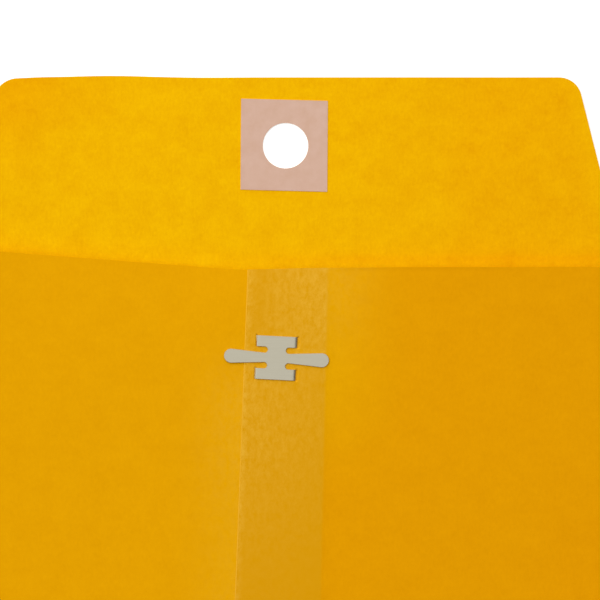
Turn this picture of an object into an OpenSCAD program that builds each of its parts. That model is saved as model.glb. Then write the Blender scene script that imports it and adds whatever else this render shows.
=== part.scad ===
// Clasp envelope lying on its front face, back up, with the closing flap opened out flat.
// Origin: centre of the front face, on the surface it lies on.
// +Y runs towards the flap, +Z is up, +X is to the right as seen from above. Units: mm.

/* [Pocket] */
// Width across the side folds
body_w = 228.6; // [215:0.1:245]
// Length from the bottom fold to the flap fold
body_l = 304.8; // [280:0.1:340]
// Thickness of the paper
paper_t = 0.16; // [0.14:0.01:0.25]
// Thickness of a dried glue film
glue_t = 0.04; // [0.02:0.01:0.06]
// Clear height between the front panel and the back panels
pocket_gap = 4.7; // [4.6:0.1:6]
// Lean of the strips that rise from the side and bottom creases, in degrees
crease_lean = 30; // [26:1:36]
// Distance from the flap fold down to the ends of the side folds
shoulder_drop = 5.5; // [5:0.1:8]
// Length of the bottom flap from the bottom crease
bottom_flap_l = 38; // [30:1:50]
// How far each side of the bottom flap leans in
bottom_flap_taper = 9; // [4:0.5:14]

/* [Centre seam] */
// Left end of the lap at the throat: free edge of the upper panel
over_top_x = -12.4; // [-16:0.1:-12]
// Left end of the lap at the bottom
over_bottom_x = -24.2; // [-26:0.1:-16]
// Right end of the lap at the throat: free edge of the panel beneath
under_top_x = 14.2; // [12:0.1:18]
// Right end of the lap at the bottom
under_bottom_x = 8; // [6:0.1:16]
// Clear margin between the glue and the edges of the lap
glue_margin = 2; // [1:0.1:3]
// Distance from the flap fold down to the throat, at the lap
throat_seam_drop = 6.2; // [5.5:0.1:7.5]
// The same at the left end of the throat
throat_left_drop = -0.4; // [-0.5:0.1:3]
// The same in the middle of the right panel
throat_mid_drop = 5.1; // [4.5:0.1:5.5]
// The same at the right end of the throat
throat_right_drop = 5; // [3:0.1:5.2]
// How far in from the side creases the throat corners are trimmed
throat_trim = 14; // [11:0.5:18]

/* [Closing flap] */
// Length of the flap from the fold to its top edge
flap_l = 58.2; // [54:0.1:66]
// Half the width of the flap at the fold
flap_base_half = 111.1; // [106:0.1:112]
// Half the width at the top edge, measured to the unrounded corner
flap_top_half = 96.4; // [90:0.1:100]
// Sideways offset of the flap from the hole
flap_dx = 0.8; // [-1.5:0.1:1.5]
// Radius of the flap corners
flap_corner_r = 7.6; // [4:0.1:12]
// Length of paper on each side of the fold that bends as the flap turns
fold_half = 2; // [1.5:0.1:3]
// Distance from the fold to the centre of the clasp hole
hole_rise = 35.4; // [34:0.1:37]
// Radius of the clasp hole
hole_r = 7.6; // [7.5:0.1:9]
// Width of the reinforcing patch
patch_w = 28.9; // [24:0.1:34]
// Height of the reinforcing patch
patch_h = 30.3; // [24:0.1:34]
// Thickness of the patch paper
patch_t = 0.12; // [0.08:0.01:0.2]
// Turn of the top and bottom edges of the patch, in degrees
patch_turn = -1.5; // [-2:0.1:2]
// Turn of the sides of the patch, which is cut a little out of square
patch_side_turn = -0.4; // [-2:0.1:2]
// Sideways offset of the patch from the hole
patch_dx = -0.45; // [-1:0.05:1]
// Offset of the patch from the hole, towards the top edge of the flap
patch_dy = 0.15; // [-1:0.05:1]

/* [Clasp] */
// Thickness of the tinned sheet
clasp_t = 0.3; // [0.25:0.01:0.4]
// Sideways position of the clasp from the hole axis
clasp_x = -3; // [-3.2:0.1:3.2]
// Turn of the clasp on the panel, in degrees
clasp_turn = -2.9; // [-3:0.1:3]
// Width of the plate over its bars
plate_w = 13.6; // [13:0.1:16]
// Width of the web between the slots
web_w = 6; // [5:0.1:6.2]
// Height of each bar
bar_h = 3.6; // [3:0.1:4]
// Height of each slot beside a prong
slot_h = 2.1; // [1.6:0.1:2.4]
// Width of a prong at its root
prong_root_w = 3.1; // [2.6:0.1:3.4]
// Radius of the rounded tip of a prong
prong_tip_r = 2.32; // [1.8:0.01:2.5]
// Distance between the two prong tips
clasp_span = 34.9; // [30:0.1:38]
// Length of each leg clinched under the lap
foot_l = 3.6; // [2.5:0.1:5]

/* [Hidden] */
$fn = 96;

kraft_out = "#e2a004";
kraft_in = "#efad02";
patch_tan = "#d5af98";
tin_grey = "#beb8a3";
glue_tone = "#d9c08a";

// Reach of cutting shapes past the envelope
reach = 2 * body_l;
cut_over = 1;

fold_y = body_l / 2;
bottom_y = -body_l / 2;
side_x = body_w / 2;

// Heights of the layers, from the surface upwards
under_z = paper_t + pocket_gap;
over_z = under_z + paper_t + glue_t;
bottom_flap_z = over_z + paper_t + glue_t;
clasp_lift = 0.05;
clasp_z = over_z + paper_t + clasp_lift;
foot_z = under_z - clasp_lift - clasp_t;

// Where the leaning strips reach the flat of each panel
left_flat_x = -side_x + (under_z + paper_t) / tan(crease_lean);
right_flat_x = side_x - (over_z + paper_t) / tan(crease_lean);
bottom_rise_w = (bottom_flap_z + paper_t) / tan(crease_lean);
bottom_flat_y = bottom_y + bottom_rise_w;
bottom_flap_half = side_x - bottom_rise_w;

// Lap edges as straight lines from the bottom crease to the flap fold
function over_x(y) = over_top_x + (over_bottom_x - over_top_x) * (fold_y - y) / body_l;
function under_x(y) = under_top_x + (under_bottom_x - under_top_x) * (fold_y - y) / body_l;

throat_trim_x = side_x - throat_trim;
shoulder_y = fold_y - shoulder_drop;
throat_seam_y = fold_y - throat_seam_drop;
throat_left_y = fold_y - throat_left_drop;
throat_right_y = fold_y - throat_right_drop;
throat_mid_y = fold_y - throat_mid_drop;
throat_mid_x = side_x / 3;
throat_slope = (throat_left_y - throat_seam_y) / (throat_trim_x + over_top_x);
throat_under_y = throat_seam_y - throat_slope * (under_top_x - over_top_x);

// Flap sides lean in from the fold to the top edge
flap_lean = (flap_base_half - flap_top_half) / flap_l;
function flap_half(rise) = flap_base_half - flap_lean * rise;
flap_side_turn = atan(flap_lean);
corner_sweep = 90 - flap_side_turn;
corner_steps = 12;
corner_y = fold_y + flap_l - flap_corner_r;
corner_x = flap_half(flap_l - flap_corner_r) - flap_corner_r / cos(flap_side_turn);

hole_y = fold_y + hole_rise;
patch_z = paper_t + glue_t;
patch_glue_inset = 0.6;

clasp_y = fold_y - hole_rise;
slot_r = slot_h / 2;
slot_x = web_w / 2 + slot_r;
slot_y = prong_root_w / 2 + slot_r;
plate_h = 2 * (slot_y + slot_r + bar_h);
bar_y = plate_h / 2 - bar_h / 2;
leg_x = plate_w / 2 - clasp_t;
leg_play = 0.06;

// Each prong turns on a round bend across its root
bend_r = clasp_t / 2;
bend_play = 0.03;
bend_x = web_w / 2 + slot_r / 2;
bend_z = clasp_z + bend_r;
root_x = bend_x - bend_r - bend_play;
tip_x = clasp_span / 2 - prong_tip_r;
blade_l = tip_x - bend_x;
blade_reach = norm([blade_l, prong_root_w / 2]);
blade_taper = asin(prong_tip_r / blade_reach) - atan(prong_root_w / 2 / blade_l);
blade_end_x = tip_x - prong_tip_r * sin(blade_taper);
blade_end_half = prong_tip_r * cos(blade_taper);

// A profile in X and Z run along Y
module along_y(y0, y1) {
    translate([0, y1, 0])
        rotate([90, 0, 0])
            linear_extrude(height = y1 - y0)
                children();
}

// A profile in Y and Z run along X
module along_x(x0, x1) {
    translate([x0, 0, 0])
        rotate([90, 0, 90])
            linear_extrude(height = x1 - x0)
                children();
}

// A plan shape given a height
module sheet(z, t) {
    translate([0, 0, z])
        linear_extrude(height = t)
            children();
}

// Section of the space under a strip that leans in from a crease at the origin
module leaning_room(inset) {
    foot = inset / sin(crease_lean);
    polygon([[foot, 0], [foot + reach, 0], [foot + reach, reach * tan(crease_lean)]]);
}

module left_room(inset) {
    translate([-side_x, 0])
        leaning_room(inset);
}

module right_room(inset) {
    translate([side_x, 0])
        mirror([1, 0])
            leaning_room(inset);
}

module bottom_room(inset) {
    translate([bottom_y, 0])
        leaning_room(inset);
}

// Plan of each half of the back, from side crease to lap edge
module left_plan() {
    polygon([[-side_x, bottom_y], [under_x(bottom_y), bottom_y], [under_top_x, throat_under_y],
        [-throat_trim_x, throat_left_y], [-side_x, shoulder_y]]);
}

module right_plan() {
    polygon([[over_x(bottom_y), bottom_y], [side_x, bottom_y], [side_x, shoulder_y],
        [throat_trim_x, throat_right_y], [throat_mid_x, throat_mid_y], [over_top_x, throat_seam_y]]);
}

module in_clasp_place() {
    translate([clasp_x, clasp_y])
        rotate(clasp_turn)
            children();
}

// Slits in the lap for the four legs of the clasp
module leg_slits() {
    in_clasp_place()
        for (sx = [-1, 1], sy = [-1, 1])
            translate([sx * (leg_x + clasp_t / 2), sy * bar_y])
                square([clasp_t + 2 * leg_play, bar_h + 2 * leg_play], center = true);
}

module flap_plan() {
    right_corner = [for (i = [0:corner_steps])
        let (a = flap_side_turn + corner_sweep * i / corner_steps)
        [corner_x + flap_corner_r * cos(a), corner_y + flap_corner_r * sin(a)]];
    left_corner = [for (i = [corner_steps:-1:0]) [-right_corner[i][0], right_corner[i][1]]];
    translate([flap_dx, 0])
        polygon(concat([[-flap_half(fold_half), fold_y + fold_half],
            [flap_half(fold_half), fold_y + fold_half]], right_corner, left_corner));
}

module patch_plan(inset) {
    across = (patch_w / 2 - inset) * [cos(patch_turn), sin(patch_turn)];
    up = (patch_h / 2 - inset) * [-sin(patch_side_turn), cos(patch_side_turn)];
    translate([patch_dx, hole_y + patch_dy])
        polygon([-across - up, across - up, across + up, up - across]);
}

module clasp_hole() {
    translate([0, hole_y, -cut_over])
        cylinder(r = hole_r, h = patch_z + patch_t + 2 * cut_over);
}

// Side window of the clasp plate: two round-ended slots and the root of the prong between them
module plate_window() {
    window_half = slot_y + slot_r;
    for (sy = [-1, 1])
        translate([slot_x, sy * slot_y])
            circle(r = slot_r);
    translate([slot_x, -window_half])
        square([plate_w, 2 * window_half]);
    translate([root_x, -slot_y])
        square([plate_w, 2 * slot_y]);
}

module prong() {
    sheet(clasp_z, clasp_t) {
        polygon([[bend_x, -prong_root_w / 2], [blade_end_x, -blade_end_half],
            [blade_end_x, blade_end_half], [bend_x, prong_root_w / 2]]);
        translate([tip_x, 0])
            circle(r = prong_tip_r);
    }
    translate([bend_x, prong_root_w / 2, bend_z])
        rotate([90, 0, 0])
            cylinder(r = bend_r, h = prong_root_w);
}

module front_panel() {
    color(kraft_out)
        sheet(0, paper_t)
            polygon([[-side_x, bottom_y], [side_x, bottom_y], [side_x, shoulder_y],
                [flap_dx + flap_half(-fold_half), fold_y - fold_half],
                [flap_dx - flap_half(-fold_half), fold_y - fold_half], [-side_x, shoulder_y]]);
}

module left_back_panel() {
    color(kraft_out)
        sheet(under_z, paper_t)
            difference() {
                intersection() {
                    left_plan();
                    translate([left_flat_x, bottom_flat_y])
                        square([reach, reach]);
                }
                leg_slits();
            }
}

module right_back_panel() {
    color(kraft_out)
        sheet(over_z, paper_t)
            difference() {
                intersection() {
                    right_plan();
                    translate([right_flat_x - reach, bottom_flat_y])
                        square([reach, reach]);
                }
                leg_slits();
            }
}

module left_side_fold() {
    color(kraft_out)
        intersection() {
            along_y(bottom_y, fold_y)
                difference() {
                    left_room(0);
                    left_room(paper_t);
                }
            along_x(-side_x, left_flat_x)
                bottom_room(paper_t);
            sheet(paper_t, under_z)
                left_plan();
        }
}

module right_side_fold() {
    color(kraft_out)
        intersection() {
            along_y(bottom_y, fold_y)
                difference() {
                    right_room(0);
                    right_room(paper_t);
                }
            along_x(right_flat_x, side_x)
                bottom_room(paper_t);
            sheet(paper_t, over_z)
                right_plan();
        }
}

module bottom_fold() {
    color(kraft_out)
        intersection() {
            along_x(-side_x, side_x)
                difference() {
                    bottom_room(0);
                    bottom_room(paper_t);
                }
            along_y(bottom_y, bottom_flat_y)
                intersection() {
                    left_room(0);
                    right_room(0);
                }
            translate([-side_x, bottom_y, paper_t])
                cube([body_w, body_l, bottom_flap_z]);
        }
}

module bottom_flap() {
    color(kraft_out)
        sheet(bottom_flap_z, paper_t)
            polygon([[-bottom_flap_half, bottom_flat_y], [bottom_flap_half, bottom_flat_y],
                [bottom_flap_half - bottom_flap_taper, bottom_y + bottom_flap_l],
                [bottom_flap_taper - bottom_flap_half, bottom_y + bottom_flap_l]]);
}

module seam_glue() {
    top_y = throat_under_y - glue_margin;
    color(glue_tone)
        sheet(under_z + paper_t, glue_t)
            difference() {
                polygon([[over_x(bottom_flat_y) + glue_margin, bottom_flat_y],
                    [under_x(bottom_flat_y) - glue_margin, bottom_flat_y],
                    [under_x(top_y) - glue_margin, top_y], [over_x(top_y) + glue_margin, top_y]]);
                leg_slits();
            }
}

// Glue line under the top of the bottom flap, thicker where it reaches down to the left panel
module bottom_flap_glue() {
    top_y = bottom_y + bottom_flap_l - glue_margin;
    low_y = (bottom_flat_y + top_y) / 2;
    end_x = throat_trim_x - bottom_flap_taper;
    color(glue_tone) {
        sheet(over_z + paper_t, glue_t)
            polygon([[over_x(low_y) + glue_margin, low_y], [end_x, low_y], [end_x, top_y],
                [over_x(top_y) + glue_margin, top_y]]);
        sheet(under_z + paper_t, bottom_flap_z - under_z - paper_t)
            polygon([[-end_x, low_y], [over_x(low_y) - glue_margin, low_y],
                [over_x(top_y) - glue_margin, top_y], [-end_x, top_y]]);
    }
}

module flap_fold() {
    color(kraft_out)
        sheet(0, paper_t)
            translate([flap_dx, 0])
                polygon([[-flap_half(-fold_half), fold_y - fold_half],
                    [flap_half(-fold_half), fold_y - fold_half],
                    [flap_half(fold_half), fold_y + fold_half],
                    [-flap_half(fold_half), fold_y + fold_half]]);
}

module closing_flap() {
    color(kraft_in)
        difference() {
            sheet(0, paper_t)
                flap_plan();
            clasp_hole();
        }
}

module patch_glue() {
    color(glue_tone)
        difference() {
            sheet(paper_t, glue_t)
                patch_plan(patch_glue_inset);
            clasp_hole();
        }
}

module hole_patch() {
    color(patch_tan)
        difference() {
            sheet(patch_z, patch_t)
                patch_plan(0);
            clasp_hole();
        }
}

// One stamping: a plate of two bars and a web, with a leg at each bar end clinched under the lap
module clasp_plate() {
    color(tin_grey)
        in_clasp_place() {
            sheet(clasp_z, clasp_t)
                difference() {
                    square([plate_w, plate_h], center = true);
                    plate_window();
                    rotate(180)
                        plate_window();
                }
            for (turn = [0, 180], sy = [-1, 1])
                rotate(turn) {
                    translate([leg_x, sy * bar_y - bar_h / 2, foot_z])
                        cube([clasp_t, bar_h, clasp_z + clasp_t - foot_z]);
                    translate([plate_w / 2 - foot_l, sy * bar_y - bar_h / 2, foot_z])
                        cube([foot_l, bar_h, clasp_t]);
                }
        }
}

module left_prong() {
    color(tin_grey)
        in_clasp_place()
            rotate(180)
                prong();
}

module right_prong() {
    color(tin_grey)
        in_clasp_place()
            prong();
}

front_panel();
left_back_panel();
right_back_panel();
left_side_fold();
right_side_fold();
bottom_fold();
bottom_flap();
seam_glue();
bottom_flap_glue();
flap_fold();
closing_flap();
patch_glue();
hole_patch();
clasp_plate();
left_prong();
right_prong();
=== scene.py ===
"""Looks of a kraft paper clasp envelope that lies on its front with its flap opened out."""

import math

import bpy
import numpy as np
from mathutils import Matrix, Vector


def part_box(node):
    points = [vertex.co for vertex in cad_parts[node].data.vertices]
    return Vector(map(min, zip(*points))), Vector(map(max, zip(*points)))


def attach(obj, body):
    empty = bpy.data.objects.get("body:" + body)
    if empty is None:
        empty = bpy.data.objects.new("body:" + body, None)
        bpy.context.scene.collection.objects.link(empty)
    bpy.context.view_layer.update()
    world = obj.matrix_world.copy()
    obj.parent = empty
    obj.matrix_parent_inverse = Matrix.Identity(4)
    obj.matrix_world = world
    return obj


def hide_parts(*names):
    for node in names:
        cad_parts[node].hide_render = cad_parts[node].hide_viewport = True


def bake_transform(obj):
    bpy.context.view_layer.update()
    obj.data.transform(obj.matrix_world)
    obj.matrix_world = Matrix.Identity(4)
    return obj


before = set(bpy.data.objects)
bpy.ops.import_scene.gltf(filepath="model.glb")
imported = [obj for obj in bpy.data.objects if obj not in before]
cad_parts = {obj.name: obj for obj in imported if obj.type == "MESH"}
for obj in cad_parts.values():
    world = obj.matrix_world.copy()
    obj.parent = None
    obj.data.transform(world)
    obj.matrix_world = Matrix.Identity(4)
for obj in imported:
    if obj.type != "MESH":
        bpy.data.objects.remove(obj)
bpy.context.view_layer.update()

MM = 0.001

# Sizes below are in millimetres, in the part's frame: X to the right, Y towards the flap, Z up


def top_of(node):
    """Height of a CAD node's upper face."""
    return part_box(node)[1].z / MM


PAPER = top_of("front_panel")
UNDER_TOP = top_of("left_back_panel")
OVER_TOP = top_of("right_back_panel")
BOTTOM_FLAP_TOP = top_of("bottom_flap")
PATCH_TOP = top_of("hole_patch")
CLASP_TOP = top_of("clasp_plate")

SIDE_X = 114.3
FOLD_Y = 152.4
BOTTOM_Y = -152.4
BODY_L = FOLD_Y - BOTTOM_Y

# Folds at the sides and the bottom: a tight crease, a leaning strip and a soft shoulder
CREASE_R = 0.25
CREASE_LEAN = math.radians(38)
SHOULDER_R = 8.0
CREASE_POINTS = 10
STRIP_POINTS = 6
SHOULDER_POINTS = 11

# Lap of the centre seam, as straight lines from the flap fold to the bottom crease
OVER_EDGE = (-12.4, -24.2)
UNDER_EDGE = (14.2, 8.0)
CUT_SLOPE = 0.3
LAP_STEP = 0.1
SEAM_PASTE_MARGIN = 2.0
SEAM_PASTE_TOP_Y = 142.1
PASTE_T = 0.04

# Throat edge of each half of the back, as X and Y from left to right
LEFT_THROAT = ((-114.3, -100.3, -12.4, 14.2), (146.9, 152.8, 146.1, 144.1))
RIGHT_THROAT = ((-12.4, 4.8, 38.2, 100.3, 114.3), (146.4, 146.9, 147.25, 147.35, 146.9))
SIDE_BOTTOM_Y = BOTTOM_Y + 1.0
THROAT_Y = 147.0
THROAT_LIP = 0.08

# Droop of the throat edge, from left to right
SAG_X = (-104.0, -80.0, -28.0, 0.0, 30.0, 60.0)
SAG_DEPTH = (0.0, 0.6, 0.9, 0.6, 0.25, 0.0)

BOTTOM_FLAP_L = 38.0
BOTTOM_FLAP_TAPER = 9.0

# Closing flap
FLAP_L = 58.2
FLAP_DX = 0.8
FLAP_BASE_HALF = 111.1
FLAP_TOP_HALF = 96.4
FLAP_LEAN = (FLAP_BASE_HALF - FLAP_TOP_HALF) / FLAP_L
FLAP_TOP_Y = FOLD_Y + FLAP_L
FLAP_CORNER_R = 7.6
FOLD_HALF = 2.0
# Half the band of close rows across the flap fold, narrow enough for the closed fold to stay off
# the floor
BEND_HALF = 0.6
CREASE_RISE = 0.35
# Lift of the opened flap: its mean, a long and a short wave, and the curl of its right edge
FLAP_LIFT = 0.16
LONG_WAVE = 0.09
SHORT_WAVE = 0.07
EDGE_CURL = 0.3
# Waves of the back's single layers, slanting one way and the other
FALLING_WAVE = 0.12
RISING_WAVE = 0.08
SHOULDER_Y = FOLD_Y - 5.5
HOLE_Y = FOLD_Y + 35.4
HOLE_R = 7.6
# Half the block of square cells round the hole, and half the width of the straight columns
HOLE_BLOCK = 18.0
BLOCK_CELLS = 16
MIDDLE_HALF = 66.0
MIDDLE_CELLS = 12
PATCH_SIZE = (28.9, 30.3)
PATCH_TURN = math.radians(-1.5)
PATCH_SIDE_TURN = math.radians(-0.4)
PATCH_AT = (-0.45, HOLE_Y + 0.15)
PATCH_PASTE_INSET = 0.6
PATCH_T = 0.12
PATCH_LOW = PATCH_TOP - PATCH_T

# Clasp, in its own axes: U along the prongs, V across them
CLASP_T = 0.3
CLASP_AT = (-3.0, 117.0)
CLASP_TURN = math.radians(-2.9)
PLATE_HALF_H = 7.25
BAR_H = 3.6
SLOT_R = 1.05
SLOT_AT = (4.05, 2.6)
PRONG_ROOT_HALF = 1.55
PRONG_TIP_R = 2.32
PRONG_TIP_U = 15.13
TIP_ARC = math.radians(86)
PRONG_BEND_U = 3.525
PRONG_BEND_HALF = 0.475
# Ends of the bars: the outer face of the legs, the radius of the bend above each, tight on the left
# and soft on the right, and the foot clinched under the lap
LEG_U = 6.84
LEFT_BEND_R = 0.4
RIGHT_BEND_R = 1.15
FOOT_BEND_R = 0.32
FOOT_BEND_Z = 4.83
FOOT_END_U = 3.2
EDGE_ROUND = 0.04
# Groove that each leg draws into the paper beside it
LEG_GROOVE_DEPTH = 0.4
LEFT_GROOVE_W = 0.3
RIGHT_GROOVE_W = 0.5


def over_edge(y):
    """X of the lap's left edge, the cut edge of the right half."""
    return OVER_EDGE[0] + (OVER_EDGE[1] - OVER_EDGE[0]) * (FOLD_Y - y) / BODY_L


def under_edge(y):
    """X of the lap's right edge, where the left half ends beneath."""
    return UNDER_EDGE[0] + (UNDER_EDGE[1] - UNDER_EDGE[0]) * (FOLD_Y - y) / BODY_L


def throat_edge(x):
    """Y of the throat as seen from above."""
    left = np.interp(x, *LEFT_THROAT)
    return np.where(np.asarray(x) < OVER_EDGE[0], left, np.interp(x, *RIGHT_THROAT))


def ease(value, low, high):
    """Smooth step from 0 at low to 1 at high."""
    t = np.clip((np.asarray(value, float) - low) / (high - low), 0, 1)
    return t * t * (3 - 2 * t)


def bell(value, centre, width):
    """Smooth hump of height 1."""
    return np.exp(-(((np.asarray(value, float) - centre) / width) ** 2))


SHARP_ANGLE = math.radians(35)


def closed_sheet(name, upper, lower, faces, finishes, flat, tones=None):
    """A thin closed sheet: an upper and a lower skin with the same faces, and walls along the open
    edges. finishes are the materials of the upper skin, the lower skin and the cut edges; flat is
    where each point lay in the blank, and tones are named shares, mostly from 0 to 1, all for the
    finishes to read."""
    count = len(upper)
    borders = {}
    for face in faces:
        for a, b in zip(face, face[1:] + face[:1]):
            if (b, a) in borders:
                del borders[(b, a)]
            else:
                borders[(a, b)] = True
    under = [tuple(count + i for i in reversed(face)) for face in faces]
    walls = [(a, count + a, count + b, b) for a, b in borders]
    mesh = bpy.data.meshes.new(name)
    points = np.vstack([upper, lower]) * MM
    mesh.from_pydata(points.tolist(), [], [*faces, *under, *walls])
    for finish in finishes:
        mesh.materials.append(finish)
    kinds = [0] * len(faces) + [1] * len(under) + [2] * len(walls)
    mesh.polygons.foreach_set("material_index", kinds)
    mesh.polygons.foreach_set("use_smooth", [True] * len(kinds))
    mesh.set_sharp_from_angle(angle=SHARP_ANGLE)
    place = mesh.attributes.new("flat", "FLOAT_VECTOR", "POINT")
    place.data.foreach_set("vector", (np.vstack([flat, flat]) * MM).ravel())
    for tone, shares in (tones or {}).items():
        shade = mesh.attributes.new(tone, "FLOAT", "POINT")
        shade.data.foreach_set("value", np.concatenate([shares, shares]))
    mesh.validate()
    mesh.update()
    made = bpy.data.objects.new(name, mesh)
    bpy.context.scene.collection.objects.link(made)
    return made


def grid_faces(columns, rows, skip=()):
    """Quads of a grid of points laid out row by row."""
    return [
        (j * columns + i, j * columns + i + 1, (j + 1) * columns + i + 1, (j + 1) * columns + i)
        for j in range(rows - 1)
        for i in range(columns - 1)
        if (i, j) not in skip
    ]


def fold_profile(top):
    """Outer line of a fold, from its crease on the floor to the flat at height top: for each point
    the distance in from the crease, the height, the outward normal and the paper used so far."""
    sin, cos = math.sin(CREASE_LEAN), math.cos(CREASE_LEAN)
    strip = (top - CREASE_R * (1 + cos) - SHOULDER_R * (1 - cos)) / sin
    line = []
    for t in np.linspace(0, math.pi - CREASE_LEAN, CREASE_POINTS):
        nd, nz = -math.sin(t), -math.cos(t)
        line.append((CREASE_R * (1 + nd), CREASE_R * (1 + nz), nd, nz))
    foot = line[-1]
    for t in np.linspace(0, strip, STRIP_POINTS)[1:]:
        line.append((foot[0] + t * cos, foot[1] + t * sin, -sin, cos))
    shoulder = line[-1]
    centre = (shoulder[0] + SHOULDER_R * sin, shoulder[1] - SHOULDER_R * cos)
    for t in np.linspace(CREASE_LEAN, 0, SHOULDER_POINTS)[1:]:
        nd, nz = -math.sin(t), math.cos(t)
        line.append((centre[0] + SHOULDER_R * nd, centre[1] + SHOULDER_R * nz, nd, nz))
    line = np.array(line)
    steps = np.hypot(*np.diff(line[:, :2], axis=0).T)
    return np.column_stack([line, np.concatenate([[0], np.cumsum(steps)])])


LEFT_FOLD = fold_profile(UNDER_TOP)
RIGHT_FOLD = fold_profile(OVER_TOP)
BOTTOM_FOLD = fold_profile(BOTTOM_FLAP_TOP)


def under_bottom_flap(y):
    """Greatest height of a side sheet that runs in under the bottom flap."""
    leaning = BOTTOM_FOLD[CREASE_POINTS:]
    return np.interp(np.asarray(y) - BOTTOM_Y, leaning[:, 0], leaning[:, 1]) - PAPER - PASTE_T


def flap_rise(x, y):
    """Lift of the front sheet off the floor: long shallow waves and a slight curl at the right edge
    of the opened flap, and a low ridge just inside the mouth, where the flap fold is still a
    shallow valley."""
    x, y = np.asarray(x, float), np.asarray(y, float)
    rise = y - FOLD_Y
    half = FLAP_DX + FLAP_BASE_HALF - FLAP_LEAN * rise
    free = ease(rise, 4, 30)
    calm = 1 - 0.8 * bell(x, 0, 30)
    waves = FLAP_LIFT + LONG_WAVE * np.sin(x / 17 + 0.8) + SHORT_WAVE * np.sin(x / 9.5 - y / 14)
    curl = EDGE_CURL * ease(x, half - 6, half + 1)
    crease = CREASE_RISE * ease(-rise, 0.5, 7) * (1 - ease(-rise, 12, 40))
    crease *= ease(SIDE_X - np.abs(x), 2, 14)
    crease *= 1 - 0.9 * bell(x, -2, 32) - 0.6 * ease(-x, 60, 95)
    return free * (calm * waves + curl) + crease


def back_wave(x, y):
    """Shallow waves in the single layers of the back, none at the lap or under the bottom flap."""
    x, y = np.asarray(x, float), np.asarray(y, float)
    single = ease(-x, 34, 60) + ease(x, 24, 55)
    loose = ease(y, BOTTOM_Y + 45, BOTTOM_Y + 85) * ease(SIDE_X - np.abs(x), 9, 30)
    waves = FALLING_WAVE * np.sin(x / 19 + y / 45) + RISING_WAVE * np.sin(y / 23 - x / 31)
    return single * loose * waves


def mouth_sag(x, y):
    """Droop of the back towards the throat, none at the stiff paper under the clasp."""
    start = 106 + 20 * ease(x, -42, -22)
    share = np.clip((y - start) / (THROAT_Y - start), 0, 1.2)
    return np.interp(x, SAG_X, SAG_DEPTH) * share ** 2


def clasp_axes(x, y):
    """U and V of points given in the part's frame."""
    sin, cos = math.sin(CLASP_TURN), math.cos(CLASP_TURN)
    dx, dy = x - CLASP_AT[0], y - CLASP_AT[1]
    return dx * cos + dy * sin, dy * cos - dx * sin


def leg_groove(x, y):
    """Depth to which the legs of the clasp draw the lap in where they go through it."""
    u, v = clasp_axes(x, y)
    past = np.abs(u) - LEG_U
    width = np.where(u > 0, RIGHT_GROOVE_W, LEFT_GROOVE_W)
    beside = np.where(past > 0, bell(past, 0, width), 1 - ease(-past, 0, 0.6))
    along = ease(np.abs(v), PLATE_HALF_H - BAR_H - 0.35, PLATE_HALF_H - BAR_H + 0.1)
    past_bar = ease(np.abs(v), PLATE_HALF_H - 0.1, PLATE_HALF_H + 0.45)
    return LEG_GROOVE_DEPTH * beside * along * (1 - past_bar)


def back_lift(x, y):
    """Height of the back over or under its flat."""
    return back_wave(x, y) - mouth_sag(x, y) - leg_groove(x, y)


# Finishes


def linear(colour):
    """A hex sRGB colour as linear RGBA."""
    parts = [int(colour[i:i + 2], 16) / 255 for i in (1, 3, 5)]
    return (*[c / 12.92 if c <= 0.04045 else ((c + 0.055) / 1.055) ** 2.4 for c in parts], 1.0)


def add_node(tree, kind, settings=None, values=None, links=None):
    """Adds one node with its settings, its constant inputs and its incoming links."""
    made = tree.nodes.new(kind)
    for key, value in (settings or {}).items():
        setattr(made, key, value)
    for key, value in (values or {}).items():
        made.inputs[key].default_value = value
    for key, source in (links or {}).items():
        tree.links.new(source, made.inputs[key])
    return made


# Sockets of the colour kind of Mix node
MIX_A, MIX_B, MIX_OUT = 6, 7, 2


def new_material(name):
    """A node material, with its tree and its shader."""
    made = bpy.data.materials.new(name)
    made.use_nodes = True
    return made, made.node_tree, made.node_tree.nodes["Principled BSDF"]


# Tint that the dye_and_shade share multiplies in: mostly painted shade, and painted orange bounce
# light by the mouth
SHADE_AND_DYE_TINT = "#fcedd8"


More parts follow.
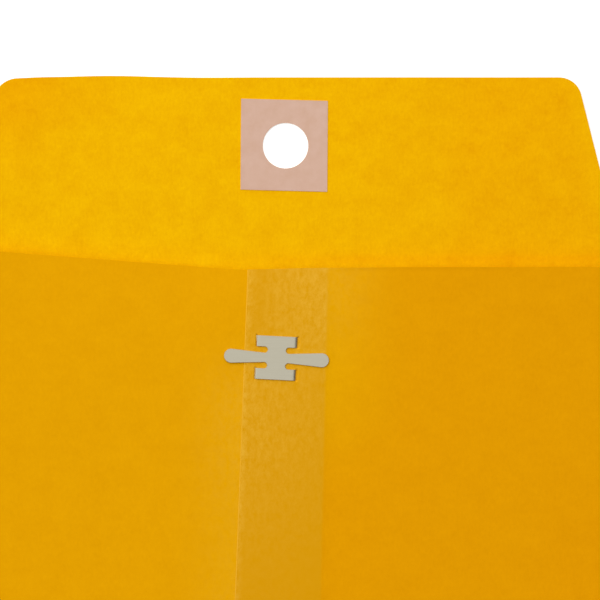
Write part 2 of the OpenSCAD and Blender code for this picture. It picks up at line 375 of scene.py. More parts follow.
def kraft_paper(name, dark, light, lap_tone=None, paste_tone=None):
    """Machine-made kraft paper, dyed through: an even matt yellow, faintly cloudy where the pulp
    lay thicker, with short fibres along the sheet. Where the sheet's dye_and_shade share says, the
    colour is multiplied by a darker, more orange tint, mostly painted shade and painted bounce
    light, and lightened where the share is below 0; outside the doubled lap is browner and the
    paste under it shows through as pale streaks."""
    made, tree, shader = new_material(name)
    shader.inputs["Roughness"].default_value = 0.9
    shader.inputs["IOR"].default_value = 1.5
    shader.inputs["Specular IOR Level"].default_value = 0.02
    place = add_node(tree, "ShaderNodeAttribute", {"attribute_name": "flat"}).outputs["Vector"]
    clouds = add_node(tree, "ShaderNodeTexNoise", None,
                      {"Scale": 1 / (9 * MM), "Detail": 5.0, "Roughness": 0.86}, {"Vector": place})
    fibre_place = add_node(tree, "ShaderNodeMapping", None, {"Scale": (1.0, 0.5, 1.0)},
                           {"Vector": place})
    fibres = add_node(tree, "ShaderNodeTexNoise", None,
                      {"Scale": 1 / (0.9 * MM), "Detail": 3.0, "Roughness": 0.7},
                      {"Vector": fibre_place.outputs["Vector"]})
    pulp = add_node(tree, "ShaderNodeMath", {"operation": "MULTIPLY_ADD"}, {1: 0.6},
                    {0: fibres.outputs["Fac"], 2: clouds.outputs["Fac"]})
    level = add_node(tree, "ShaderNodeMapRange", None, {"From Min": 0.55, "From Max": 1.05},
                     {"Value": pulp.outputs["Value"]})
    colour = add_node(tree, "ShaderNodeMix", {"data_type": "RGBA"},
                      {MIX_A: linear(dark), MIX_B: linear(light)}, {0: level.outputs["Result"]})
    # Painted shade: the dye_and_shade share multiplies the colour by a darker, more orange tint
    dye_and_shade = add_node(tree, "ShaderNodeAttribute", {"attribute_name": "dye_and_shade"})
    tinting = {"data_type": "RGBA", "blend_type": "MULTIPLY", "clamp_factor": False}
    colour = add_node(tree, "ShaderNodeMix", tinting, {MIX_B: linear(SHADE_AND_DYE_TINT)},
                      {0: dye_and_shade.outputs["Fac"], MIX_A: colour.outputs[MIX_OUT]})
    if lap_tone:
        lap = add_node(tree, "ShaderNodeAttribute", {"attribute_name": "lap"})
        colour = add_node(tree, "ShaderNodeMix", {"data_type": "RGBA"}, {MIX_B: linear(lap_tone)},
                          {0: lap.outputs["Fac"], MIX_A: colour.outputs[MIX_OUT]})
        pale = add_node(tree, "ShaderNodeAttribute", {"attribute_name": "pale"})
        streak_place = add_node(tree, "ShaderNodeMapping", None, {"Scale": (1.0, 0.55, 1.0)},
                                {"Vector": place})
        streaks = add_node(tree, "ShaderNodeTexNoise", None,
                           {"Scale": 1 / (2 * MM), "Detail": 4.0, "Roughness": 0.9},
                           {"Vector": streak_place.outputs["Vector"]})
        streak_share = add_node(tree, "ShaderNodeMapRange", None,
                                {"From Min": 0.36, "From Max": 0.64, "To Min": 0.0, "To Max": 1.3},
                                {"Value": streaks.outputs["Fac"]})
        amount = add_node(tree, "ShaderNodeMath", {"operation": "MULTIPLY"}, None,
                          {0: pale.outputs["Fac"], 1: streak_share.outputs["Result"]})
        colour = add_node(tree, "ShaderNodeMix", {"data_type": "RGBA"}, {MIX_B: linear(paste_tone)},
                          {0: amount.outputs["Value"], MIX_A: colour.outputs[MIX_OUT]})
    tree.links.new(colour.outputs[MIX_OUT], shader.inputs["Base Color"])
    bump = add_node(tree, "ShaderNodeBump", None, {"Strength": 0.25, "Distance": 0.04 * MM},
                    {"Height": pulp.outputs["Value"]})
    tree.links.new(bump.outputs["Normal"], shader.inputs["Normal"])
    return made


kraft_outside = kraft_paper("dyed_kraft_paper_calendered_side", "#e3a000", "#eba902",
                            "#da9a07", "#e8ae30")
kraft_inside = kraft_paper("dyed_kraft_paper_felt_side", "#eca900", "#f9bf02")
kraft_edge = kraft_paper("dyed_kraft_paper_cut_edge", "#dfab26", "#e7b53a")


def patch_paper():
    """Smooth unbleached tan paper, die-cut: nearly even, with faint pink-grey clouds."""
    made, tree, shader = new_material("unbleached_tan_paper_die_cut")
    shader.inputs["Roughness"].default_value = 0.85
    shader.inputs["IOR"].default_value = 1.5
    shader.inputs["Specular IOR Level"].default_value = 0.15
    place = add_node(tree, "ShaderNodeAttribute", {"attribute_name": "flat"}).outputs["Vector"]
    clouds = add_node(tree, "ShaderNodeTexNoise", None,
                      {"Scale": 1 / (4.5 * MM), "Detail": 3.0, "Roughness": 0.6}, {"Vector": place})
    share = add_node(tree, "ShaderNodeMapRange", None, {"From Min": 0.3, "From Max": 0.7},
                     {"Value": clouds.outputs["Fac"]})
    colour = add_node(tree, "ShaderNodeMix", {"data_type": "RGBA"},
                      {MIX_A: linear("#d2ab94"), MIX_B: linear("#d8b39f")},
                      {0: share.outputs["Result"]})
    tree.links.new(colour.outputs[MIX_OUT], shader.inputs["Base Color"])
    bump = add_node(tree, "ShaderNodeBump", None, {"Strength": 0.2, "Distance": 0.03 * MM},
                    {"Height": clouds.outputs["Fac"]})
    tree.links.new(bump.outputs["Normal"], shader.inputs["Normal"])
    return made


patch_tan = patch_paper()


def tinned_steel():
    """Tinplate, rolled then stamped: a soft grey sheen, faint rolling lines along the prongs."""
    made, tree, shader = new_material("tinned_steel_rolled_and_stamped")
    shader.inputs["Metallic"].default_value = 1.0
    place = add_node(tree, "ShaderNodeTexCoord").outputs["Object"]
    line_place = add_node(tree, "ShaderNodeMapping", None, {"Scale": (0.05, 1.0, 1.0)},
                          {"Vector": place})
    lines = add_node(tree, "ShaderNodeTexNoise", None,
                     {"Scale": 1 / (0.5 * MM), "Detail": 2.0, "Roughness": 0.5},
                     {"Vector": line_place.outputs["Vector"]})
    colour = add_node(tree, "ShaderNodeMix", {"data_type": "RGBA"},
                      {MIX_A: linear("#bab4a0"), MIX_B: linear("#c3bdaa")},
                      {0: lines.outputs["Fac"]})
    tree.links.new(colour.outputs[MIX_OUT], shader.inputs["Base Color"])
    rough = add_node(tree, "ShaderNodeMapRange", None, {"To Min": 0.4, "To Max": 0.52},
                     {"Value": lines.outputs["Fac"]})
    tree.links.new(rough.outputs["Result"], shader.inputs["Roughness"])
    return made


tin = tinned_steel()


def dried_paste():
    """Starch paste dried to a thin clouded film."""
    made, tree, shader = new_material("starch_paste_dried_film")
    shader.inputs["Roughness"].default_value = 0.5
    place = add_node(tree, "ShaderNodeTexCoord").outputs["Object"]
    clouds = add_node(tree, "ShaderNodeTexNoise", None,
                      {"Scale": 1 / (3.0 * MM), "Detail": 2.0}, {"Vector": place})
    colour = add_node(tree, "ShaderNodeMix", {"data_type": "RGBA"},
                      {MIX_A: linear("#d2b478"), MIX_B: linear("#e0c990")},
                      {0: clouds.outputs["Fac"]})
    tree.links.new(colour.outputs[MIX_OUT], shader.inputs["Base Color"])
    return made


paste = dried_paste()
flap_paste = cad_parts["bottom_flap_glue"]
flap_paste.data.materials.clear()
flap_paste.data.materials.append(paste)

OUTSIDE_UP = (kraft_outside, kraft_inside, kraft_edge)
INSIDE_UP = (kraft_inside, kraft_outside, kraft_edge)


# Paper pieces


def sheet_edge(y, side):
    """X of the left (-1) or right (1) edge of the front sheet and its flap at a given Y."""
    crease = side * (SIDE_X - CREASE_R)
    rise = y - FOLD_Y
    if y <= SHOULDER_Y:
        return crease
    if rise <= -FOLD_HALF:
        share = (y - SHOULDER_Y) / (FOLD_Y - FOLD_HALF - SHOULDER_Y)
        return crease + share * (FLAP_DX + side * (FLAP_BASE_HALF + FLAP_LEAN * FOLD_HALF) - crease)
    turn = math.atan(FLAP_LEAN)
    centre_rise = FLAP_L - FLAP_CORNER_R
    above = rise - centre_rise
    half = FLAP_BASE_HALF - FLAP_LEAN * rise
    if above > FLAP_CORNER_R * math.sin(turn):
        half = FLAP_BASE_HALF - FLAP_LEAN * centre_rise - FLAP_CORNER_R / math.cos(turn)
        half += math.sqrt(max(FLAP_CORNER_R ** 2 - above ** 2, 0))
    return FLAP_DX + side * half


TOP_HUMP = 0.5
TOP_DIP = 0.1
CORNER_DROOP = 0.45


def top_edge_wave(x):
    """How far the flap's top edge strays from straight: a low hump, and a droop at its left end."""
    hump = TOP_HUMP * bell(x, -58, 16) - TOP_DIP * bell(x, -28, 14)
    return hump - CORNER_DROOP * ease(-x, 80, 95)


# Tones of the inside, in its dye_and_shade share: painted shade in two steps to the right and how
# much of it the right edge loses, a darker tone in two steps to the top left corner, painted orange
# bounce light at the mouth, and how strongly painted light lightens the rim by the throat on the
# left and further on
RIGHT_SHADE_STEPS = (0.31, 0.37)
RIGHT_EDGE_SHADE_LOSS = 0.6
CORNER_STEPS = (0.65, 0.35)
MOUTH_BOUNCE_LIGHT = 0.32
THROAT_LIGHT_STEPS = (0.28, 0.32)


def flap_dye_and_shade(x, y):
    """How much the inside is tinted darker and more orange: painted shade towards the right, but
    not at the flap's right edge, a darker tone in the top left corner of the flap, and painted
    orange bounce light just inside the mouth. It is below 0 along the throat, painted light that
    makes up for the shade of the open mouth."""
    right_edge = FLAP_DX + FLAP_BASE_HALF - FLAP_LEAN * (y - FOLD_Y)
    # Painted shade towards the right, less of it at the right edge
    across = RIGHT_SHADE_STEPS[0] * ease(x, 0, 45) + RIGHT_SHADE_STEPS[1] * ease(x, 46, 66)
    across *= 1 - RIGHT_EDGE_SHADE_LOSS * ease(x, right_edge - 7, right_edge)
    # Darker tone in the top left corner
    corner = CORNER_STEPS[0] * ease(-x, 62, 96) * ease(y, 168, 202)
    corner += CORNER_STEPS[1] * ease(-x, 50, 64) * (1 - 0.5 * ease(-x, 86, 96)) * ease(y, 190, 204)
    # Painted orange bounce light just inside the mouth
    mouth = MOUTH_BOUNCE_LIGHT * ease(FOLD_Y - y, 0, 2.4) * ease(x, -30, 30)
    # Painted light along the throat edge, which lightens the colour
    throat_light_reach = 5.5 - 2.2 * ease(x, -30, 10)
    throat_light_strength = THROAT_LIGHT_STEPS[0] + THROAT_LIGHT_STEPS[1] * ease(x, -80, -45)
    rim = throat_light_strength * (1 - ease(y - throat_edge(x), 0.4, throat_light_reach))
    return across + corner + mouth - rim


# Below 1, the rings round the hole lie closer together towards it
RING_SPREAD = 0.8


def hole_rings(border, centre_x, centre_y, rings):
    """Points on lines from a closed border in to the clasp hole, ring by ring, border left out."""
    spokes = np.array(border) - (centre_x, centre_y)
    rim = spokes / np.hypot(*spokes.T)[:, None] * HOLE_R
    made = []
    for k in range(1, rings + 1):
        t = (k / rings) ** RING_SPREAD
        made.append(spokes + (rim - spokes) * t + (centre_x, centre_y))
    return np.vstack(made)


def ring_faces(border_ids, first, rings):
    """Quads between a border and the rings inside it."""
    size = len(border_ids)
    loops = [list(border_ids)] + [[first + k * size + i for i in range(size)] for k in range(rings)]
    return [
        (outer[i], outer[(i + 1) % size], inner[(i + 1) % size], inner[i])
        for outer, inner in zip(loops, loops[1:])
        for i in range(size)
    ]


def front_and_flap():
    """The front panel and the closing flap, one sheet across the flap fold."""
    block = np.linspace(-HOLE_BLOCK, HOLE_BLOCK, BLOCK_CELLS + 1)
    beside = np.linspace(HOLE_BLOCK, MIDDLE_HALF, MIDDLE_CELLS + 1)[1:]
    inner = np.concatenate([-beside[::-1], block, beside])
    outer = np.concatenate([np.linspace(0, 0.9, 11)[1:], [0.93, 0.96, 0.98, 1.0]])
    fold_rise = np.linspace(-BEND_HALF, BEND_HALF, 17)
    past_bend = np.array([1.0, 1.5, FOLD_HALF])
    fold_rows = FOLD_Y + np.concatenate([-past_bend[::-1], fold_rise, past_bend])
    corner_y = FOLD_Y + FLAP_L - FLAP_CORNER_R
    corner_turns = np.linspace(math.atan(FLAP_LEAN), math.pi / 2, 14)
    corner_rows = corner_y + FLAP_CORNER_R * np.sin(corner_turns)
    rows = np.concatenate([
        np.linspace(BOTTOM_Y + CREASE_R, SHOULDER_Y - 2, 40),
        np.linspace(SHOULDER_Y - 1.6, fold_rows[0], 15)[:-1],
        fold_rows,
        np.linspace(fold_rows[-1], HOLE_Y - HOLE_BLOCK, 6)[1:],
        (HOLE_Y + block)[1:-1],
        [HOLE_Y + HOLE_BLOCK],
    ])
    rows = np.unique(np.concatenate([rows[rows < corner_rows[0] - 0.4], corner_rows]).round(6))
    block_rows = [j for j, y in enumerate(rows) if abs(y - HOLE_Y) <= HOLE_BLOCK + 0.01]
    plan = []
    for y in rows:
        left_reach, right_reach = inner[0] - sheet_edge(y, -1), sheet_edge(y, 1) - inner[-1]
        left_side, right_side = inner[0] - left_reach * outer[::-1], inner[-1] + right_reach * outer
        xs = np.concatenate([left_side, inner, right_side])
        plan.extend((x, y) for x in xs)
    columns = len(inner) + 2 * len(outer)
    plan = np.array(plan)
    first_column = len(outer) + MIDDLE_CELLS
    last_column = first_column + BLOCK_CELLS
    lows, highs = block_rows[0], block_rows[-1]
    cells = {(i, j) for i in range(first_column, last_column) for j in range(lows, highs)}
    faces = grid_faces(columns, len(rows), cells)
    border = (
        [lows * columns + i for i in range(first_column, last_column)]
        + [j * columns + last_column for j in range(lows, highs)]
        + [highs * columns + i for i in range(last_column, first_column, -1)]
        + [j * columns + first_column for j in range(highs, lows, -1)]
    )
    rings = 7
    faces += ring_faces(border, len(plan), rings)
    plan = np.vstack([plan, hole_rings(plan[border], 0, HOLE_Y, rings)])
    x, y = plan[:, 0], plan[:, 1]
    plan[:, 1] += top_edge_wave(x) * ease(y, FLAP_TOP_Y - 14, FLAP_TOP_Y)
    flat = np.column_stack([plan, np.zeros(len(plan))])
    lower = np.column_stack([plan, flap_rise(x, y)])
    upper = lower + (0, 0, PAPER)
    tones = {"dye_and_shade": flap_dye_and_shade(x, y)}
    made = closed_sheet("front_and_flap_sheet", upper, lower, faces, INSIDE_UP, flat, tones)
    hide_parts("front_panel", "flap_fold", "closing_flap")
    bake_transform(made)


def patch_sheet(name, inset, low, high, finish, node):
    """A sheet on the flap, cut a little out of square, with the clasp hole through it."""
    half_w, half_h = PATCH_SIZE[0] / 2 - inset, PATCH_SIZE[1] / 2 - inset
    steps = np.linspace(-1, 1, BLOCK_CELLS + 1)
    border = (
        [(t * half_w, -half_h) for t in steps[:-1]]
        + [(half_w, t * half_h) for t in steps[:-1]]
        + [(t * half_w, half_h) for t in steps[:0:-1]]
        + [(-half_w, t * half_h) for t in steps[:0:-1]]
    )
    across = (math.cos(PATCH_TURN), math.sin(PATCH_TURN))
    up = (-math.sin(PATCH_SIDE_TURN), math.cos(PATCH_SIDE_TURN))
    border = np.array(border) @ (across, up) + PATCH_AT
    rings = 6
    plan = np.vstack([border, hole_rings(border, 0, HOLE_Y, rings)])
    faces = ring_faces(range(len(border)), len(border), rings)
    flat = np.column_stack([plan, np.zeros(len(plan))])
    lift = np.column_stack([np.zeros_like(plan), flap_rise(plan[:, 0], plan[:, 1])])
    upper, lower = flat + lift + (0, 0, high), flat + lift + (0, 0, low)
    made = closed_sheet(name, upper, lower, faces, (finish,) * 3, flat)
    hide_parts(node)
    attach(made, "flap")


# Columns across the lap, as shares of its width, close together at its edges and at the legs
LAP_COLUMNS = np.concatenate([
    [0.0, 0.0145, 0.03, 0.06, 0.09], np.arange(0.115, 0.2, 0.004), np.linspace(0.23, 0.57, 8),
    np.arange(0.6, 0.7, 0.004), np.linspace(0.73, 0.94, 6),
    [0.965, 0.98, 0.99, 1.0, 1.01, 1.02, 1.035],
])
# Rows from the bottom crease to the throat, close together at both ends and at the clasp
CLIMBS = np.unique(np.concatenate([
    np.linspace(0, 0.05, 12), np.linspace(0.05, 0.97, 47), np.linspace(0.868, 0.93, 60),
    np.linspace(0.97, 0.994, 5), np.linspace(0.996, 1, 5),
]).round(6))
# Columns of each half between its fold and the lap
LEFT_OPEN = np.linspace(0, 1, 18)[1:]
RIGHT_OPEN = np.linspace(0, 1, 27)[1:-1]
SEAM_PASSES = 4
# Tones of the back, in its dye_and_shade share: the painted shade in each half, darker on the right
# and more in the right half's lower right corner, the share of the bottom flap, how strong the
# lap's brown is, and the halo beside it, which fades towards the bottom
LEFT_SHADE = 0.27
RIGHT_SHADE = 0.77
CORNER_SHADE = 0.2
BOTTOM_DYE_AND_SHADE = 0.5
LAP_SHARE = 0.85
HALO_PALENESS = 0.3
HALO_REACH = 12.0
HALO_FADE = 0.45


def settle(points):
    """Points of a back sheet's skins once it sags, is dented and dives under the bottom flap."""
    x, y, z, nx, nz = points[:, :5].T
    z = z + back_lift(x, y)
    low = z - nz * PAPER
    room = under_bottom_flap(y)
    low = np.where(z > room, room - PAPER, low)
    z = np.minimum(z, room)
    return np.column_stack([x, y, z]), np.column_stack([x - nx * PAPER, y, low])


def sheet_y(climb, x, throat):
    """Y at a share of the way from the bottom of a back sheet up to its throat edge."""
    return SIDE_BOTTOM_Y + climb * (np.interp(x, *throat) - SIDE_BOTTOM_Y)


def seam_point(climb, throat, place):
    """X and Y of a point of a back sheet whose X hangs on the two edges of the lap at its own Y.
    Both edges lean, so X and Y are found together in a few passes."""
    x = OVER_EDGE[0]
    for _ in range(SEAM_PASSES):
        y = sheet_y(climb, x, throat)
        x = place(over_edge(y), under_edge(y))
    return x, y


def seam_halo(x, y):
    """Strength of the paler band left of the lap, where damp paste spread under the paper."""
    beside = np.clip(over_edge(y) - x, 0, None)
    return (1 - ease(y, 100, 128)) * bell(beside, 0, HALO_REACH)


def left_back():
    """The left half of the back: it folds over from the left crease and runs in under the lap."""
    fold = LEFT_FOLD
    flat_x = -SIDE_X + fold[-1, 0]
    places = [lambda start, end, t=t: flat_x + t * (start - flat_x) for t in LEFT_OPEN]
    places += [lambda start, end, t=t: start + t * (end - start) for t in LAP_COLUMNS if 0 < t <= 1]
    points = []
    for climb in CLIMBS:
        for d, z, nd, nz, run in fold:
            points.append((d - SIDE_X, sheet_y(climb, d - SIDE_X, LEFT_THROAT), z, nd, nz, run))
        for place in places:
            x, y = seam_point(climb, LEFT_THROAT, place)
            points.append((x, y, UNDER_TOP, 0, 1, fold[-1, 4] + x - flat_x))
    points = np.array(points)
    upper, lower = settle(points)
    x, y, run = points[:, 0], points[:, 1], points[:, 5]
    flat = np.column_stack([-SIDE_X - run, y, np.zeros(len(x))])
    halo = seam_halo(x, y)
    halo_paleness = HALO_PALENESS * (1 - HALO_FADE * (1 - ease(y, 56, 90)))
    # Painted shade on the left half, less of it in the halo
    tones = {"pale": halo_paleness * halo, "lap": np.zeros(len(x)), "dye_and_shade": LEFT_SHADE * (1 - halo)}
    faces = grid_faces(len(points) // len(CLIMBS), len(CLIMBS))
    made = closed_sheet("left_back_sheet", upper, lower, faces, OUTSIDE_UP, flat, tones)
    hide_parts("left_back_panel", "left_side_fold")
    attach(made, "pocket")


# Paleness of the paste along the lap, from the bottom up to the throat, and how much it grows from
# left to right
PASTE_Y = (-152.0, 36.0, 48.0, 90.0, 108.0, 124.0, 140.0)
PASTE_PALENESS = (0.09, 0.09, 0.13, 0.43, 0.49, 0.55, 0.6)
PASTE_LEAN = (0.0, -0.35, -0.35, -0.3, -0.3, 0.3, 0.3)
LAP_HALF = 13.5
# More paste along the lap's free edge, less in a thin patch, and some spilled past its right edge
FREE_EDGE_PASTE = 0.4
THIN_PATCH = 0.4
SPILL = 0.25


def in_lap(x, y):
    """1 in the lap and 0 right of it."""
    edge = under_edge(y)
    return 1 - ease(x, edge - 0.7, edge + 0.5)


def lap_paleness(x, y):
    """Paleness of the pasted lap, with more paste along its free edge and a thin patch near the
    throat, and of the paper just right of it near the throat."""
    spill = SPILL * bell(x, under_edge(y) + 3, 11) * ease(y, 108, 144)
    inside = in_lap(x, y)
    across = x - over_edge(y)
    lean = np.interp(y, PASTE_Y, PASTE_LEAN) * (across / LAP_HALF - 1)
    share = np.interp(y, PASTE_Y, PASTE_PALENESS) * (1 + lean)
    share *= 1 - THIN_PATCH * bell(across, 5, 2.5) * ease(y, 112, 128)
    free_edge = FREE_EDGE_PASTE * bell(across, 0.7, 0.9)
    return inside * (share + free_edge) + (1 - inside) * spill


def right_back():
    """The right half of the back: it folds over from the right crease and tops the lap."""
    fold = RIGHT_FOLD[::-1]
    flat_x = SIDE_X - fold[0, 0]

    def past_lap(start, end, t):
        near = start + LAP_COLUMNS[-1] * (end - start)
        return near + t * (flat_x - near)

    places = [lambda start, end, t=t: start + t * (end - start) for t in LAP_COLUMNS]
    places += [lambda start, end, t=t: past_lap(start, end, t) for t in RIGHT_OPEN]
    points = []
    for climb in CLIMBS:
        for place in places:
            x, y = seam_point(climb, RIGHT_THROAT, place)
            points.append((x, y, OVER_TOP, 0, 1, flat_x - x + fold[0, 4]))
        for d, z, nd, nz, run in fold:
            points.append((SIDE_X - d, sheet_y(climb, SIDE_X - d, RIGHT_THROAT), z, -nd, nz, run))
    points = np.array(points)
    columns = len(points) // len(CLIMBS)
    x, y, run = points[:, 0].copy(), points[:, 1], points[:, 5]
    edge = under_edge(y)
    points[:, 2] -= LAP_STEP * ease(x, edge - 0.3, edge + 1.6) * (1 - ease(x, 70, 95))
    lip = np.interp(x, *RIGHT_THROAT) - y
    points[:, 2] += THROAT_LIP * (1 - ease(lip, 0, 1.1)) * ease(x, edge, edge + 6)
    upper, lower = settle(points)
    upper[::columns, 0] += CUT_SLOPE
    flat = np.column_stack([SIDE_X + run, y, np.zeros(len(x))])
    # Painted shade on the right half, less of it beside the lap towards the top and more in the
    # lower right corner
    dye_and_shade = RIGHT_SHADE * (1 - bell(x, edge, 18) * ease(y, 70, 110))
    dye_and_shade += CORNER_SHADE * ease(x, 70, 105) * (1 - ease(y, 40, 100))
    tones = {"pale": lap_paleness(x, y), "lap": LAP_SHARE * in_lap(x, y), "dye_and_shade": dye_and_shade}
    faces = grid_faces(columns, len(CLIMBS))
    made = closed_sheet("right_back_sheet", upper, lower, faces, OUTSIDE_UP, flat, tones)
    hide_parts("right_back_panel", "right_side_fold")
    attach(made, "pocket")


def seam_paste():
    """The film of paste between the two layers of the lap."""
    shares = [t for t in LAP_COLUMNS if 0 < t < 1]
    points = []
    for y in SIDE_BOTTOM_Y + CLIMBS * (SEAM_PASTE_TOP_Y - SIDE_BOTTOM_Y):
        start, end = over_edge(y) + SEAM_PASTE_MARGIN, under_edge(y) - SEAM_PASTE_MARGIN
        points.extend((start + t * (end - start), y) for t in shares)
    x, y = np.array(points).T
    lift = np.minimum(back_lift(x, y), under_bottom_flap(y) - OVER_TOP)
    lower = np.column_stack([x, y, UNDER_TOP + lift])
    upper = np.column_stack([x, y, OVER_TOP - PAPER + lift])
    faces = grid_faces(len(shares), len(CLIMBS))
    made = closed_sheet("seam_paste_film", upper, lower, faces, (paste,) * 3, upper)
    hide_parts("seam_glue")
    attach(made, "pocket")


def bottom_flap():
    """The bottom flap, folded up last over both halves of the back."""
    fold = BOTTOM_FOLD
    rise = fold[-1, 0]
    straight = np.linspace(rise, BOTTOM_FLAP_L, 12)[1:]
    lines = [*fold]
    lines += [(d, BOTTOM_FLAP_TOP, 0, 1, fold[-1, 4] + d - rise) for d in straight]
    across = np.linspace(-1, 1, 61)
    upper, lower, flat = [], [], []
    for d, z, nd, nz, run in lines:
        half = SIDE_X - min(d, rise) - BOTTOM_FLAP_TAPER * max(d - rise, 0) / (BOTTOM_FLAP_L - rise)
        y = BOTTOM_Y + d
        for t in across:
            upper.append((t * half, y, z))
            lower.append((t * half, y - nd * PAPER, z - nz * PAPER))
            flat.append((t * half, BOTTOM_Y - run, 0))
    faces = grid_faces(len(across), len(lines))
    # The bottom flap takes a middle dye_and_shade share
    made = closed_sheet("bottom_flap_sheet", np.array(upper), np.array(lower), faces, OUTSIDE_UP,
                        np.array(flat), {"dye_and_shade": np.full(len(upper), BOTTOM_DYE_AND_SHADE)})
    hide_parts("bottom_flap", "bottom_fold")
    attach(made, "pocket")


front_and_flap()
patch_sheet("patch_paste_film", PATCH_PASTE_INSET, PAPER, PATCH_LOW, paste, "patch_glue")
patch_sheet("hole_patch_sheet", 0.0, PATCH_LOW, PATCH_TOP, patch_tan, "hole_patch")
left_back()
seam_paste()
right_back()
bottom_flap()


# Clasp


def clasp_place(points, turned):
    """Points in the clasp's own axes, put in the part's frame; turned gives its other end."""
    points = np.array(points, float)
    if turned:
        points[:, :2] *= -1
    sin, cos = math.sin(CLASP_TURN), math.cos(CLASP_TURN)
    u, v = points[:, 0].copy(), points[:, 1].copy()
    points[:, 0] = CLASP_AT[0] + u * cos - v * sin
    points[:, 1] = CLASP_AT[1] + u * sin + v * cos
    return points


# Past this U the middle of the clasp and its bars part round the slots
JOINED_U = 2.7
SLOT_TURNS = np.linspace(0, math.pi / 2, 12)


def slot_rim(turn, side, rounding):
    """A point on the inner end of a slot, above (side 1) or below it (-1), moved into the metal."""
    reach = SLOT_R + rounding
    return SLOT_AT[0] - reach * math.cos(turn), SLOT_AT[1] + side * reach * math.sin(turn)


def bar_stations(bend_r):
    """Stations along half a bar, from the middle of the plate to the foot clinched under the lap.
    Each is U and height of the outer face, its normal in U and height, and the edge beside the slot
    as U and V where it is full height and where it is rounded off; None stands for an edge joined
    to the middle strip."""
    line = [(u, CLASP_TOP, 0, 1, None, None) for u in (0.0, 1.0, 2.0, JOINED_U)]
    for turn in SLOT_TURNS:
        edge, full = slot_rim(turn, 1, 0), slot_rim(turn, 1, EDGE_ROUND)
        line.append((edge[0], CLASP_TOP, 0, 1, full, edge))
    low_v = PLATE_HALF_H - BAR_H
    flat_u = LEG_U - bend_r
    plain = [(u, CLASP_TOP, 0, 1) for u in (4.8, 5.3, flat_u)]
    for t in np.linspace(0, math.pi / 2, 12)[1:]:
        sin, cos = math.sin(t), math.cos(t)
        plain.append((flat_u + bend_r * sin, CLASP_TOP - bend_r * (1 - cos), sin, cos))
    foot_u, foot_z = LEG_U - FOOT_BEND_R, min(FOOT_BEND_Z, CLASP_TOP - bend_r)
    for t in np.linspace(math.pi / 2, math.pi, 8)[1:]:
        sin, cos = math.sin(t), math.cos(t)
        plain.append((foot_u + FOOT_BEND_R * sin, foot_z + FOOT_BEND_R * cos, sin, cos))
    plain.append((FOOT_END_U, foot_z - FOOT_BEND_R, 0, -1))
    return line + [(u, z, nu, nz, (u, low_v + EDGE_ROUND), (u, low_v)) for u, z, nu, nz in plain]


def bar_points(station, mirror):
    """Outer and inner points across a bar at one station; mirror -1 gives its other half."""
    u, z, nu, nz, full, edge = station
    full_v = full[1] if full else SLOT_AT[1] + EDGE_ROUND
    rims = [(*edge, EDGE_ROUND) if edge else (u, SLOT_AT[1], 0.0)]
    rims += [(full[0] if full and k == 0 else u, v, 0.0)
             for k, v in enumerate(np.linspace(full_v, PLATE_HALF_H - EDGE_ROUND, 5))]
    rims += [(u, PLATE_HALF_H, EDGE_ROUND)]
    outer = [(mirror * (at - nu * drop), v, z - nz * drop) for at, v, drop in rims]
    inner = [(mirror * (at - nu * CLASP_T), v, z - nz * CLASP_T) for at, v, drop in rims]
    return outer, inner


def clasp_plate():
    """The two bars of the clasp, their ends bent down through the lap and clinched under it."""
    left_half, right_half = bar_stations(LEFT_BEND_R), bar_stations(RIGHT_BEND_R)
    points_up, points_low, faces = [], [], []
    for turned in (False, True):
        near, far = (right_half, left_half) if turned else (left_half, right_half)
        rows = [bar_points(station, -1) for station in near[:0:-1]]
        rows += [bar_points(station, 1) for station in far]
        base = len(points_up)
        for a, b, c, d in grid_faces(len(rows[0][0]), len(rows)):
            faces.append((base + a, base + d, base + c, base + b))
        points_up.extend(clasp_place([point for outer, inner in rows for point in outer], turned))
        points_low.extend(clasp_place([point for outer, inner in rows for point in inner], turned))
    points_up, points_low = np.array(points_up), np.array(points_low)
    made = closed_sheet("clasp_plate_stamping", points_up, points_low, faces, (tin,) * 3, points_up)
    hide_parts("clasp_plate")
    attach(made, "pocket")


def prong_stations():
    """Stations along half the middle strip and its prong, each the edge of the metal and, just
    inside it, the start of its rounding, in U and V: the joined middle, the flared root, the
    widening blade and the round tip."""
    line = [((u, SLOT_AT[1]), (u, SLOT_AT[1] - EDGE_ROUND)) for u in (0.0, 1.5, JOINED_U)]
    line += [(slot_rim(turn, -1, 0), slot_rim(turn, -1, EDGE_ROUND)) for turn in SLOT_TURNS]
    for share in np.linspace(0, 1, 9)[1:-1]:
        u = SLOT_AT[0] + share * (PRONG_TIP_U - SLOT_AT[0])
        half = PRONG_ROOT_HALF + share * (PRONG_TIP_R - PRONG_ROOT_HALF)
        line.append(((u, half), (u, half - EDGE_ROUND)))
    for t in np.linspace(0, TIP_ARC, 14):
        radii = (PRONG_TIP_R, PRONG_TIP_R - EDGE_ROUND)
        line.append(tuple((PRONG_TIP_U + r * math.sin(t), r * math.cos(t)) for r in radii))
    return line


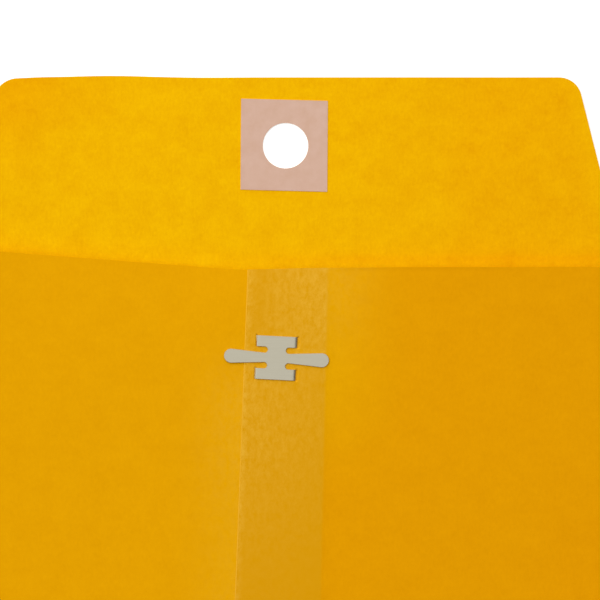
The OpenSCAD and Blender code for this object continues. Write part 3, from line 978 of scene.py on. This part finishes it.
def prong_strip(name, turned, node):
    """Half the middle of the clasp with its prong."""
    upper = []
    for (edge_u, edge_v), (full_u, full_v) in prong_stations():
        drop = EDGE_ROUND if edge_u > JOINED_U else 0.0
        upper.append((edge_u, -edge_v, CLASP_TOP - drop))
        upper += [(full_u, share * full_v, CLASP_TOP) for share in (-1, -0.33, 0.33, 1)]
        upper.append((edge_u, edge_v, CLASP_TOP - drop))
    columns = 6
    tip_half = upper[-1][1]
    tip_vs = np.linspace(-tip_half, tip_half, columns)
    upper += [(PRONG_TIP_U + PRONG_TIP_R, v, CLASP_TOP - EDGE_ROUND) for v in tip_vs]
    lower = [(u, v, CLASP_TOP - CLASP_T) for u, v, z in upper]
    faces = [(a, d, c, b) for a, b, c, d in grid_faces(columns, len(upper) // columns)]
    upper, lower = clasp_place(upper, turned), clasp_place(lower, turned)
    made = closed_sheet(name, upper, lower, faces, (tin,) * 3, upper)
    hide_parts(node)
    bend_us = (PRONG_BEND_U - PRONG_BEND_HALF, PRONG_BEND_U + PRONG_BEND_HALF)
    ends = clasp_place([(u, 0, 0) for u in bend_us], turned) * MM
    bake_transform(made)


clasp_plate()
prong_strip("left_prong_strip", True, "left_prong")
prong_strip("right_prong_strip", False, "right_prong")


# Floor, light and camera


FLOOR_HALF = 15.0
FLOOR_Z = -0.05 * MM
FLOOR_LIFT = 0.4
# The surround is bright towards this direction; the strengths are its dim and its bright side
SKY_TOWARDS = Vector((-0.5, 0.7, 0.5)).normalized()
SKY_DIM = 0.06
SKY_BRIGHT = 1.02
KEY_PLACE = (-0.7, 1.3, 1.2)
KEY_TARGET = (0.0, 0.12, 0.0)
KEY_SIZE = 1.6
KEY_POWER = 16.0


def pale_floor():
    """A wide white floor that keeps the object's shadow and shows as white paper behind it."""
    made, tree, shader = new_material("white_studio_paper")
    shader.inputs["Base Color"].default_value = linear("#f7f7f5")
    shader.inputs["Roughness"].default_value = 0.9
    shader.inputs["Specular IOR Level"].default_value = 0.1
    shader.inputs["Emission Color"].default_value = linear("#ffffff")
    path = add_node(tree, "ShaderNodeLightPath")
    seen = add_node(tree, "ShaderNodeMath", {"operation": "MAXIMUM"}, None,
                    {0: path.outputs["Is Camera Ray"], 1: path.outputs["Is Glossy Ray"]})
    seen = add_node(tree, "ShaderNodeMath", {"operation": "MAXIMUM"}, None,
                    {0: seen.outputs["Value"], 1: path.outputs["Is Transmission Ray"]})
    lift = add_node(tree, "ShaderNodeMath", {"operation": "MULTIPLY"}, {1: FLOOR_LIFT},
                    {0: seen.outputs["Value"]})
    tree.links.new(lift.outputs["Value"], shader.inputs["Emission Strength"])
    mesh = bpy.data.meshes.new("floor")
    signs = ((-1, -1), (1, -1), (1, 1), (-1, 1))
    corners = [(x * FLOOR_HALF, y * FLOOR_HALF, FLOOR_Z) for x, y in signs]
    mesh.from_pydata(corners, [], [(0, 1, 2, 3)])
    mesh.materials.append(made)
    floor = bpy.data.objects.new("floor", mesh)
    bpy.context.scene.collection.objects.link(floor)


def sky():
    """Soft studio surround: a bright dome above, behind and to the left, dim right and in front."""
    world = bpy.data.worlds.new("studio")
    world.use_nodes = True
    bpy.context.scene.world = world
    tree = world.node_tree
    look = add_node(tree, "ShaderNodeTexCoord").outputs["Generated"]
    facing = add_node(tree, "ShaderNodeVectorMath", {"operation": "DOT_PRODUCT"},
                      {1: SKY_TOWARDS}, {0: look})
    level = add_node(tree, "ShaderNodeMapRange", {"interpolation_type": "SMOOTHSTEP"},
                     {"From Min": -0.25, "From Max": 0.45, "To Min": SKY_DIM, "To Max": SKY_BRIGHT},
                     {"Value": facing.outputs["Value"]})
    tree.links.new(level.outputs["Result"], tree.nodes["Background"].inputs["Strength"])
    tree.nodes["Background"].inputs["Color"].default_value = linear("#ffffff")


def softbox(name, place, target, size, power):
    """A square lamp at a place, turned to a target."""
    lamp = bpy.data.lights.new(name, "AREA")
    lamp.size = size
    lamp.energy = power
    made = bpy.data.objects.new(name, lamp)
    made.location = place
    made.rotation_euler = (Vector(target) - Vector(place)).to_track_quat("-Z", "Y").to_euler()
    made.visible_camera = False
    bpy.context.scene.collection.objects.link(made)


VIEW_CENTRE = (4.83 * MM, 136.3 * MM, 2.5 * MM)
VIEW_WIDTH = 200 * MM
VIEW_DISTANCE = 2.0


def photo_camera():
    """Straight above the open flap and the upper part of the back."""
    camera = bpy.data.cameras.new("camera")
    camera.sensor_width = 36.0
    camera.lens = camera.sensor_width * VIEW_DISTANCE / VIEW_WIDTH
    made = bpy.data.objects.new("camera", camera)
    made.location = (VIEW_CENTRE[0], VIEW_CENTRE[1], VIEW_CENTRE[2] + VIEW_DISTANCE)
    bpy.context.scene.collection.objects.link(made)
    bpy.context.scene.camera = made


pale_floor()
sky()
softbox("key_softbox", KEY_PLACE, KEY_TARGET, KEY_SIZE, KEY_POWER)
photo_camera()
bpy.context.scene.view_settings.view_transform = "Standard"
